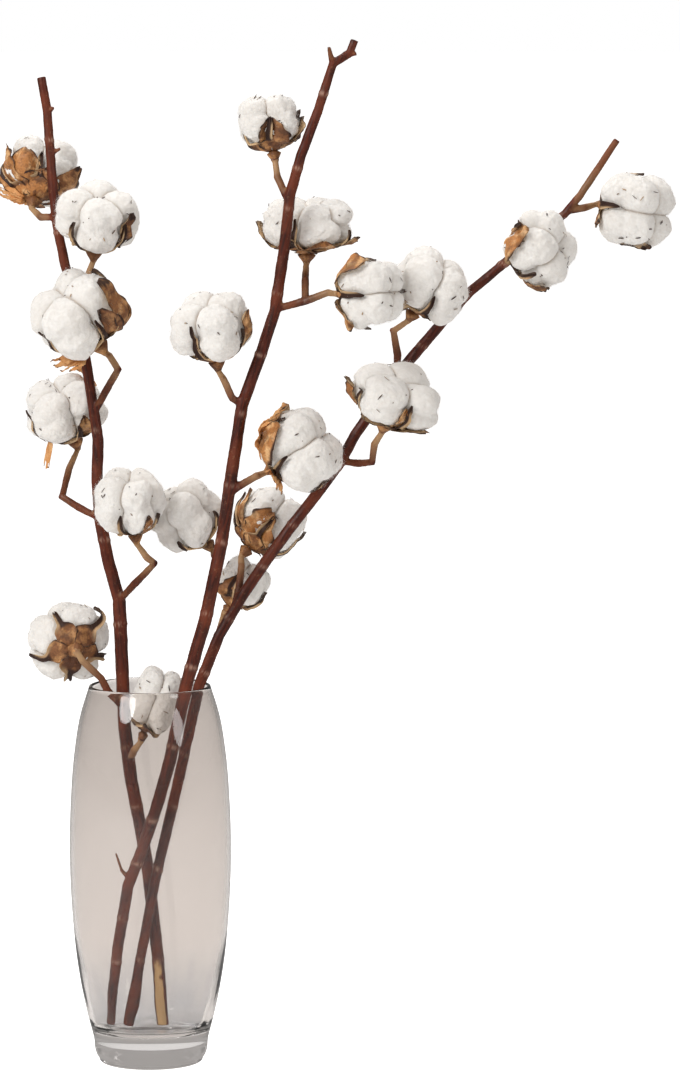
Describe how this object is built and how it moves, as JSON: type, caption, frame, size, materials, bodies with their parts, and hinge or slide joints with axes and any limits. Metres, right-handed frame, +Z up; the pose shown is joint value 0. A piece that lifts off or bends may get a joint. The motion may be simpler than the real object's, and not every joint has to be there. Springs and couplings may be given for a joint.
{
  "type": "cotton stem bunch in a vase",
  "caption": "Tall leaning branches of dried cotton with open fluffy bolls, standing loose in a clear barrel-shaped glass vase as a table decoration.",
  "frame": {"origin": "centre of the vase's flat foot, on the surface it stands on", "axes": "+Z up along the vase's axis, -Y to the front, +X towards the side where the right branch leans out"},
  "size_m": [0.4673, 0.1825, 0.6995],
  "materials": {
    "glass": "gloss",
    "bark": "satin",
    "bur": "matte",
    "lint": "matte",
    "bract": "matte"
  },
  "bodies": {
    "root": {"glass_vase": "glass", "left_branch": "bark", "middle_branch": "bark", "right_branch": "bark", "lint_01": "lint", "bur_01": "bur", "lint_02": "lint", "bur_02": "bur", "lint_03": "lint", "bur_03": "bur", "lint_04": "lint", "bur_04": "bur", "lint_05": "lint", "bur_05": "bur", "lint_06": "lint", "bur_06": "bur", "lint_07": "lint", "bur_07": "bur", "lint_08": "lint", "bur_08": "bur", "lint_09": "lint", "bur_09": "bur", "lint_10": "lint", "bur_10": "bur", "lint_11": "lint", "bur_11": "bur", "lint_12": "lint", "bur_12": "bur", "lint_13": "lint", "bur_13": "bur", "lint_14": "lint", "bur_14": "bur", "lint_15": "lint", "bur_15": "bur", "lint_16": "lint", "bur_16": "bur", "lint_17": "lint", "bur_17": "bur", "lint_18": "lint", "bur_18": "bur", "lint_19": "lint", "bur_19": "bur", "bract_01": "bract", "bract_03": "bract", "bract_04_upper": "bract", "bract_04_lower": "bract", "bract_17_upper": "bract", "bract_17_lower": "bract"}
  },
  "joints": []
}
